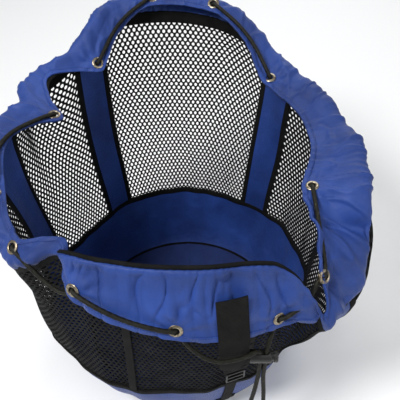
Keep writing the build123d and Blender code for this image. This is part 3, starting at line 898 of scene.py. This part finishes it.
def rope(name, line, diameter, material, strands=4, lay=0.021, step=0.0013, around=24):
    """A braided cord along a line: diamonds where its strands cross, each strand with a colour of its own,
    and painted shade that darkens the grooves between them.
    """
    line = evenly(np.asarray(line), step)
    tangents = np.gradient(line, axis=0)
    tangents /= np.linalg.norm(tangents, axis=1, keepdims=True)
    side = np.cross(tangents[0], (0.31, 0.52, 0.79))
    points, strand_tints_and_groove_shades = [], []
    for i, (centre, along) in enumerate(zip(line, tangents)):
        side = side - along * (side @ along)
        side /= np.linalg.norm(side)
        other = np.cross(along, side)
        for k in range(around):
            turn = 2 * pi * k / around
            right = strands * turn + 2 * pi * i * step / lay * strands / 2
            left = strands * turn - 2 * pi * i * step / lay * strands / 2
            diamond = abs(sin(right / 2) * sin(left / 2)) ** 0.6
            radius = diameter / 2 * (0.88 + 0.14 * diamond)
            points.append(centre + (side * cos(turn) + other * sin(turn)) * radius)
            cell = int(right // (2 * pi)) * 7.13 + int(left // (2 * pi)) * 3.71
            # Each strand's own random colour, lowered where the cord sinks between strands: painted shade in
            # the grooves.
            strand_tints_and_groove_shades.append(0.5 + 0.62 * noise.noise(Vector((cell, 1.7, 0.3))) - 0.35 * (1 - diamond))
    faces = []
    for i in range(len(line) - 1):
        a, b = i * around, (i + 1) * around
        faces += [(a + k, a + (k + 1) % around, b + (k + 1) % around, b + k) for k in range(around)]
    faces.append(list(range(around))[::-1])
    faces.append([len(points) - around + k for k in range(around)])
    obj = make_mesh(name, points, faces, material)
    strand_tint_and_groove_shade = obj.data.attributes.new("strand_tint_and_groove_shade", "FLOAT", "POINT")
    strand_tint_and_groove_shade.data.foreach_set("value", np.array(strand_tints_and_groove_shades, np.float32))
    return obj


LOCK = (0.129, -0.288, 0.330)
CORD_PITCH = 0.0079
left_x, right_x = LOCK[0] - CORD_PITCH / 2, LOCK[0] + CORD_PITCH / 2


def beside(section, side):
    """A point of the drawcord beside the collar: side 1 is its outer face, -1 its inner face."""
    (radius, height), (out, up) = eyelet_at(section)
    lift = side * CORD_LIFT
    return polar(section[0], (radius + out * lift) * MM, (height + up * lift) * MM)


def drawcord_route():
    """From the lock, left through the front eyelets, round the back and down the right to the lock."""
    rows = {section[0]: section for section in SECTIONS}
    route = [
        Vector((left_x, LOCK[1], LOCK[2])),
        Vector((left_x, LOCK[1], LOCK[2] + 0.022)),
        polar(-73, 0.322, 0.357),
        polar(-81, 0.322, 0.360),
        polar(-88, 0.303, 0.383),
    ]
    side = 1
    for angle in (269, 254, 240):
        route.append(beside(rows[angle], side))
        if rows[angle][4]:
            side = -side
            route.append(beside(rows[angle], side))
    route.append(polar(235, 0.308, 0.438))
    for angle in (219, 211, 202, 184, 163, 147, 129, 115, 101, 80, 65, 50, 32, 10, -17, -46):
        route.append(beside(rows[angle], side))
        if rows[angle][4]:
            side = -side
            route.append(beside(rows[angle], side))
    route += [polar(-52, 0.316, 0.426), beside(rows[299], side), beside(rows[299], -side)]
    route += [polar(-62, 0.303, 0.378), Vector((right_x, LOCK[1], LOCK[2] + 0.025))]
    route.append(Vector((right_x, LOCK[1], LOCK[2])))
    return route


on(rope("drawcord_braid", spline_line(drawcord_route()), CORD_D, ROPE), "black_cord", "drawcord")

TAIL_LEFT = [
    (left_x, LOCK[1], 0.330),
    (left_x, LOCK[1], 0.308),
    (left_x, LOCK[1], 0.286),
    (left_x, LOCK[1], 0.266),
    (left_x - 0.004, LOCK[1] - 0.003, 0.206),
    (left_x - 0.010, LOCK[1] - 0.001, 0.152),
]
TAIL_RIGHT = [
    (right_x, LOCK[1], 0.330),
    (right_x, LOCK[1], 0.308),
    (right_x, LOCK[1], 0.286),
    (right_x, LOCK[1], 0.266),
    (right_x + 0.005, LOCK[1] - 0.004, 0.212),
    (right_x + 0.007, LOCK[1] - 0.004, 0.170),
]


def knot(name, end, along):
    """An overhand knot at a cord's end: a trefoil of the cord itself."""
    turns = np.linspace(0, 2 * pi, 90, endpoint=False)
    side = Vector(along).orthogonal().normalized()
    other = Vector(along).cross(side)
    size = 0.0021
    line = []
    for t in turns:
        x, y, z = sin(t) + 2 * sin(2 * t), cos(t) - 2 * cos(2 * t), -1.35 * sin(3 * t)
        line.append(Vector(end) + (side * x + Vector(along) * (y + 2.4) + other * z) * size)
    line.append(line[0])
    return rope(name, line, 0.0058, ROPE, lay=0.017, step=0.0011, around=16)


TAILS = [("left", TAIL_LEFT, 0.179), ("right", TAIL_RIGHT, 0.160)]
for which, route, length in TAILS:
    line = spline_line(route)
    tail = on(rope(f"tail_{which}_braid", line, CORD_D, ROPE), "black_cord", f"cord_tail_{which}")
    end = knot(f"tail_{which}_knot", line[-1], (line[-1] - line[-2]) / np.linalg.norm(line[-1] - line[-2]))
    on(end, "black_cord", "tail_knots")


# ---- tab and flap ----
TAB_ANGLE = 285.0
TAB_W = 0.048


def facing_grid(angle, width, line, columns=16, crown=0.0):
    """A strip across an angle's radius that follows a line of (radius, height) points."""
    across = polar(angle + 90, 1, 0)
    grid = np.zeros((columns, len(line), 3))
    for i in range(columns):
        share = 2 * i / (columns - 1) - 1
        for j, (radius, height) in enumerate(line):
            spot = polar(angle, radius + crown * (1 - share**2), height) + across * share * width / 2
            grid[i, j] = spot
    return grid


def even_line(points, step=0.003):
    line = np.array([(r, 0.0, z) for r, z in points])
    return [(r, z) for r, _, z in evenly(line, step)]


flap_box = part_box("tab_flap")
tab_row = next(section for section in SECTIONS if section[0] == TAB_ANGLE)
ridge_r, ridge_z = 0.271, 0.515
hem_r, hem_z = (value * MM for value in tab_row[3])
slope = (hem_r - ridge_r) / (ridge_z - hem_z)
stand = 0.0031 * sqrt(1 + slope**2)
tab_line = even_line([
    (ridge_r + slope * (ridge_z - 0.470) + stand, 0.470),
    (hem_r + stand, hem_z),
    (hem_r + 0.0046, 0.3455),
])
tab_grid = facing_grid(TAB_ANGLE, TAB_W, tab_line, crown=0.0012)
tab = grid_mesh("tab_webbing", tab_grid, WEBBING)
on(thicken(tab, 0.0020), "black_webbing", "front_tab")


def flap_grid():
    """The flap: webbing whose lower end is cut round."""
    rows, columns = 18, 20
    top, low = flap_box[1].z, flap_box[0].z
    grid = np.zeros((columns, rows, 3))
    for i in range(columns):
        share = 2 * i / (columns - 1) - 1
        for j in range(rows):
            drop = j / (rows - 1)
            depth = (top - low - TAB_W / 2) + TAB_W / 2 * sqrt(max(0.0, 1 - (0.985 * share) ** 2))
            radius = hem_r + 0.0046 + 0.0016 * sin(pi * drop) * (1 - share**2)
            middle = polar(TAB_ANGLE, radius, top - drop * depth)
            grid[i, j] = middle + polar(TAB_ANGLE + 90, 1, 0) * share * TAB_W / 2
    return grid


flap_piece = grid_mesh("flap_webbing", flap_grid(), WEBBING)
on(thicken(flap_piece, 0.0020), "black_webbing", "tab_flap", body="flap")

# ---- shoulder strap, its webbing and the patch that it is sewn to ----
STRAP_ANGLE = -70.0


def strap_pad():
    """A padded strap: a crowned closed section that pulls in at its edges and its sewn channels."""
    low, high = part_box("shoulder_strap")[0].z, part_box("shoulder_strap")[1].z
    rows, around = 90, 28
    half_w = 0.0235
    points = []
    for j in range(rows):
        share = j / (rows - 1)
        height = low + (high - low) * share
        end = sqrt(max(0.0, 1 - (2 * share - 1) ** 16))
        channel = 1 - 0.45 * exp(-(((share * 4) % 1 - 0.5) / 0.05) ** 2) if 0.05 < share < 0.95 else 1
        radius = float(wall_radius(height)) + 0.0052
        for k in range(around):
            turn = 2 * pi * k / around
            wide = half_w * (0.86 + 0.14 * end) * np.sign(cos(turn)) * abs(cos(turn)) ** 0.55
            thick = 0.0040 * end * channel * np.sign(sin(turn)) * abs(sin(turn)) ** 0.8
            points.append(polar(STRAP_ANGLE, radius + thick, height) + polar(STRAP_ANGLE + 90, 1, 0) * wide)
    faces = []
    for j in range(rows - 1):
        a, b = j * around, (j + 1) * around
        faces += [(a + k, a + (k + 1) % around, b + (k + 1) % around, b + k) for k in range(around)]
    faces.append(list(range(around))[::-1])
    faces.append([len(points) - around + k for k in range(around)])
    cloth = [(k * 0.004, j * 0.002) for j in range(rows) for k in range(around)]
    return make_mesh("strap_pad", points, faces, WEBBING, cloth)


strap = on(strap_pad(), "black_webbing", "shoulder_strap")

web_low, web_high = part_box("strap_webbing")[0].z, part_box("strap_webbing")[1].z
web_line = [(float(wall_radius(z)) + 0.0028, z) for z in np.linspace(web_low, web_high, 60)]
web_grid = facing_grid(STRAP_ANGLE, 0.0215, web_line, columns=8)
webbing = grid_mesh("strap_web", web_grid, WEBBING)
on(thicken(webbing, 0.0016), "black_webbing", "strap_webbing")

patch_low, patch_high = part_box("strap_anchor")[0].z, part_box("strap_anchor")[1].z
patch_line = [(float(wall_radius(z)) + 0.0012, z) for z in np.linspace(patch_low, patch_high, 16)]
patch_grid = facing_grid(STRAP_ANGLE, 0.040, patch_line, columns=14)
patch = grid_mesh("anchor_patch", patch_grid, TAPE)
on(thicken(patch, 0.0018), "black_webbing", "strap_anchor")

# ---- badge ----
BADGE_ANGLE, BADGE_H, BADGE_R = -155.0, 0.085, 0.040


def badge_piece(name, outline, material, lift):
    """A flat patch on the wall, filled inward from an outline of (across, up) points about its middle."""
    rings, count = 10, len(outline)
    middle = np.mean(outline, axis=0)
    radius = float(wall_radius(BADGE_H))
    points, cloth = [], []
    for i, spot in enumerate(outline):
        for j in range(rings):
            across, up = middle + (np.asarray(spot) - middle) * (1 - 0.97 * j / (rings - 1))
            angle = BADGE_ANGLE + np.degrees(across / radius)
            points.append(wall_points(np.array(angle), np.array((BADGE_H + up) / RIM_H), lift))
            cloth.append((across, up))
    faces = grid_faces(count, rings, closed=True)
    faces.append([i * rings + rings - 1 for i in range(count)])
    return thicken(make_mesh(name, points, faces, material, cloth), 0.0010)


def arc(radius, start, end, count, centre=(0, 0)):
    return [
        (centre[0] + radius * cos(radians(a)), centre[1] + radius * sin(radians(a)))
        for a in np.linspace(start, end, count)
    ]


badge = badge_piece("badge_disc", arc(BADGE_R, 0, 354, 60), SHADED_FLOOR_BLUE_AND_BADGE_NAVY, 0.0012)
on(badge, "badge_print", "badge")
crescent = arc(0.033, 60, 220, 30) + arc(0.026, 220, 60, 30)
on(badge_piece("badge_arc", crescent, BADGE_GOLD, 0.0024), "badge_print")
bar = [(-0.006, -0.012), (0.012, -0.012), (0.012, 0.004), (-0.006, 0.004)]
on(badge_piece("badge_bar", bar, BADGE_WHITE, 0.0024), "badge_print")

# ---- CAD parts that keep their shape ----
KEPT = {
    "lock_barrel": PLASTIC,
    "lock_plunger": PLASTIC,
    "lock_spring": STEEL,
    "ladder_lock": PLASTIC,
}
for node, material in KEPT.items():
    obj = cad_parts[node]
    obj.data.materials.clear()
    obj.data.materials.append(material)

# ---- floor and light ----
floor_mesh = bpy.data.meshes.new("floor")
reach = 6.0
corners = [(-reach, -reach, 0), (reach, -reach, 0), (reach, reach, 0), (-reach, reach, 0)]
floor_mesh.from_pydata(corners, [], [(0, 1, 2, 3)])
floor = link(bpy.data.objects.new("floor", floor_mesh))
floor_material, _, floor_shader = shader("pale_floor", 0.85)
floor_shader.inputs["Base Color"].default_value = (0.86, 0.86, 0.85, 1)
floor_mesh.materials.append(floor_material)


def soft_light(name, place, aim, size, watts):
    data = bpy.data.lights.new(name, "AREA")
    data.shape = "DISK"
    data.size = size
    data.energy = watts
    obj = link(bpy.data.objects.new(name, data))
    obj.location = place
    obj.rotation_euler = (Vector(aim) - Vector(place)).to_track_quat("-Z", "Y").to_euler()


MIDDLE = (0, 0, 0.35)
soft_light("key", (-1.1, -0.9, 2.3), MIDDLE, 0.7, 58)
soft_light("fill", (1.9, -1.2, 1.5), MIDDLE, 1.6, 18)
soft_light("back", (0.6, 2.0, 1.9), MIDDLE, 1.4, 22)
world = bpy.data.worlds.new("studio")
world.use_nodes = True
world.node_tree.nodes["Background"].inputs["Color"].default_value = (0.93, 0.95, 1.0, 1)
world.node_tree.nodes["Background"].inputs["Strength"].default_value = 0.42
scene.world = world
scene.view_settings.view_transform = "Standard"
